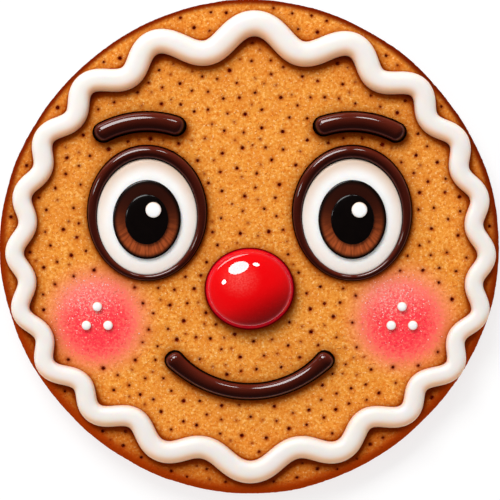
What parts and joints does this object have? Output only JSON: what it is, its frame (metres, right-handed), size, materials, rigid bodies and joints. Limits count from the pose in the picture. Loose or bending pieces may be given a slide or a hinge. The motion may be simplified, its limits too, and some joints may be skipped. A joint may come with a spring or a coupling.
{
  "type": "gingerbread face cookie",
  "caption": "Round gingerbread cookie lying face up, with a wavy white icing border and a face in icing: ringed eyes, brows, a smile, cheek dots and a red candy nose.",
  "frame": {"origin": "middle of the flat underside, where the cookie rests", "axes": "+Z out of the iced face, +Y towards the forehead, +X towards the right side of the face as seen from above"},
  "size_m": [0.1004, 0.0994, 0.0138],
  "materials": {
    "gingerbread": "baked golden brown gingerbread with a fine sandy crumb, darker at the edge",
    "white_icing": "dried white royal icing, smooth with a soft sheen",
    "chocolate_icing": "dark chocolate brown icing, smooth and glossy",
    "brown_icing": "brown icing, smooth and glossy",
    "black_icing": "black icing, smooth and glossy",
    "red_candy": "hard red candy, glossy"
  },
  "bodies": {
    "root": {"biscuit": "gingerbread", "border": "white_icing", "eye_ring_left": "chocolate_icing", "eye_white_left": "white_icing", "iris_left": "brown_icing", "pupil_left": "black_icing", "glint_left": "white_icing", "brow_left": "chocolate_icing", "cheek_dot_left_1": "white_icing", "cheek_dot_left_2": "white_icing", "cheek_dot_left_3": "white_icing", "eye_ring_right": "chocolate_icing", "eye_white_right": "white_icing", "iris_right": "brown_icing", "pupil_right": "black_icing", "glint_right": "white_icing", "brow_right": "chocolate_icing", "cheek_dot_right_1": "white_icing", "cheek_dot_right_2": "white_icing", "cheek_dot_right_3": "white_icing", "mouth": "chocolate_icing", "nose": "red_candy"}
  },
  "joints": []
}
